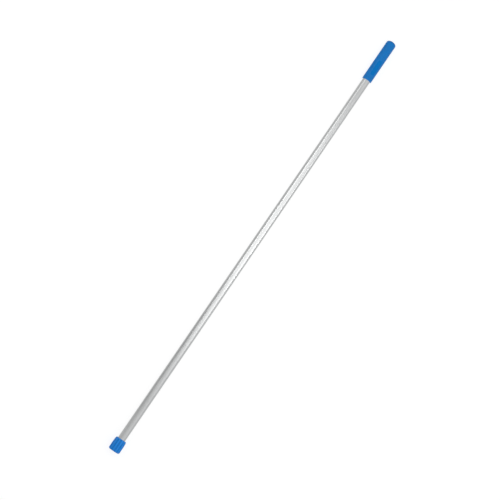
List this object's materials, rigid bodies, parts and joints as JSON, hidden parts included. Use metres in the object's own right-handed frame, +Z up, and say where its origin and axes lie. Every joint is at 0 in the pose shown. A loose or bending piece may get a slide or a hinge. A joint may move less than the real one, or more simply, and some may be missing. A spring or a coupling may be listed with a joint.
{
  "type": "boat hook pole",
  "caption": "Straight aluminium boat hook pole with a domed moulded hand grip and a ribbed screw collar that clamps a push-in head in its socket end.",
  "frame": {"origin": "under the middle of the pole's length, on the surface that the ribs of the lock collar rest on", "axes": "+X along the pole from the socket mouth to the domed grip, +Z up as the pole lies on a deck, +Y completes the right-handed set"},
  "size_m": [1.5, 0.0376, 0.0375],
  "materials": {
    "anodised_tube": "satin anodised, drawn along the tube",
    "grip_blue": "satin moulded polypropylene",
    "collar_blue": "satin moulded polypropylene",
    "plug_black": "moulded polyethylene",
    "socket_grey": "moulded glass-filled nylon",
    "seal_rubber": "smooth nitrile rubber",
    "pin_steel": "bright stainless",
    "ring_white": "natural acetal"
  },
  "bodies": {
    "pole": {"pole_tube": "anodised_tube", "hand_grip": "grip_blue", "end_plug": "plug_black", "socket_body": "socket_grey", "socket_seal": "seal_rubber", "socket_pins": "pin_steel"},
    "clamp_ring": {"clamp_ring": "ring_white"},
    "lock_collar": {"lock_collar": "collar_blue"}
  },
  "joints": [
    {"name": "clamp_travel", "type": "slide", "parent": "pole", "child": "clamp_ring", "axis": [-1, 0, 0], "range_m": [0, 0.003]},
    {"name": "collar_turn", "type": "hinge", "parent": "clamp_ring", "child": "lock_collar", "pos_m": [-0.73, 0, 0.01877], "axis": [-1, 0, 0], "range_deg": [0, 360]}
  ],
  "couplings": [
    {"joint": "collar_turn", "follows": "clamp_travel", "rad_per_m": 2094.4}
  ]
}
